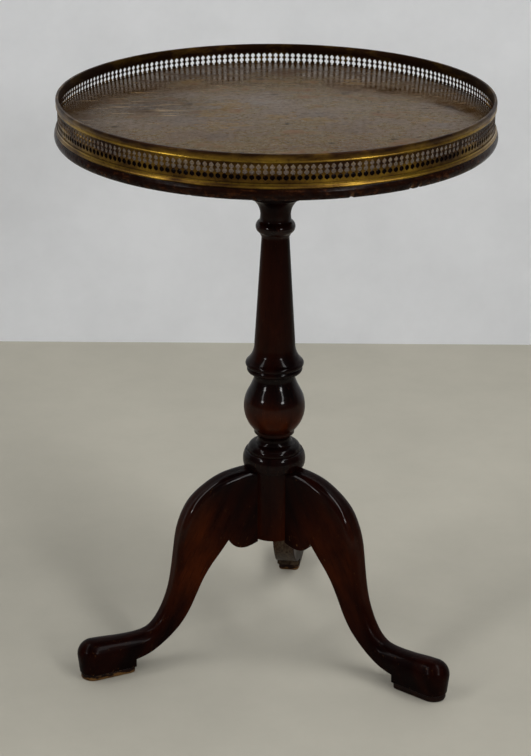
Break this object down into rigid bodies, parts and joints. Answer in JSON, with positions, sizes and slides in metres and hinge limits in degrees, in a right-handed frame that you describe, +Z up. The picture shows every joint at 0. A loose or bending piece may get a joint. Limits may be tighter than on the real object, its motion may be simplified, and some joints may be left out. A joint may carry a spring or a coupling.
{
  "type": "tripod tea table",
  "caption": "Round mahogany tea table: a tray top inside a pierced brass gallery, on a turned pillar with three cabriole legs and pad feet.",
  "frame": {"origin": "on the floor, on the axis of the pillar", "axes": "+Z up, +Y along the rear leg, +X to the right seen from the front"},
  "size_m": [0.4502, 0.4541, 0.6248],
  "materials": {
    "top_wood": "worn semi-gloss polish on mahogany",
    "polished_wood": "dark red-brown mahogany under gloss varnish",
    "pad_wood": "worn varnish, lighter at the edges",
    "inner_wood": "plain stained hardwood",
    "brass": "aged brass, brown in the hollows and bright on the edges",
    "steel": "dull bright steel"
  },
  "bodies": {
    "root": {"table_top": "top_wood", "gallery_pierced_band": "brass", "gallery_cap_rail": "brass", "gallery_base_moulding": "brass", "gallery_pins": "brass", "mounting_plate": "inner_wood", "plate_screws": "steel", "pillar": "polished_wood", "tenon_wedge": "inner_wood", "leg_front_left": "polished_wood", "leg_front_right": "polished_wood", "leg_rear": "polished_wood", "foot_pad_front_left": "pad_wood", "foot_pad_front_right": "pad_wood", "foot_pad_rear": "pad_wood"}
  },
  "joints": []
}
